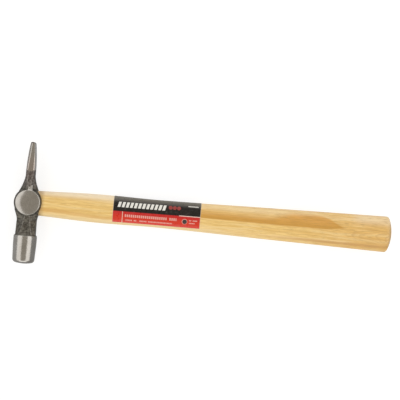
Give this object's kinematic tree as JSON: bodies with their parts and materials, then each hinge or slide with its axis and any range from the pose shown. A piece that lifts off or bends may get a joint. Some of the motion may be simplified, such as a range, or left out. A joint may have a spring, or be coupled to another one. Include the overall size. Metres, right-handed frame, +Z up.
{
  "type": "cross-pein hammer",
  "caption": "Light cross-pein hammer: forged steel head with a ground round face and wedge pein, wedged onto an oval wooden handle with a plain printed band.",
  "frame": {"origin": "centre of the lower cheek's flat, straight below the middle of the eye", "axes": "+Z up through the two cheeks, +X along the handle to its butt, +Y to the pein; the striking face looks along -Y"},
  "size_m": [0.2898, 0.0932, 0.0186],
  "materials": {
    "head_steel": "ground bright on the block, cheeks and pein, dark forged skin between",
    "handle_ash": "clear lacquered pale ash with a browner streak",
    "wedge_hardwood": "bare sawn hardwood",
    "wedge_steel": "plain mild steel",
    "label_paper": "glossy printed band, black over red"
  },
  "bodies": {
    "root": {"head": "head_steel", "handle": "handle_ash", "wooden_wedge": "wedge_hardwood", "steel_wedge": "wedge_steel", "label": "label_paper"}
  },
  "joints": []
}
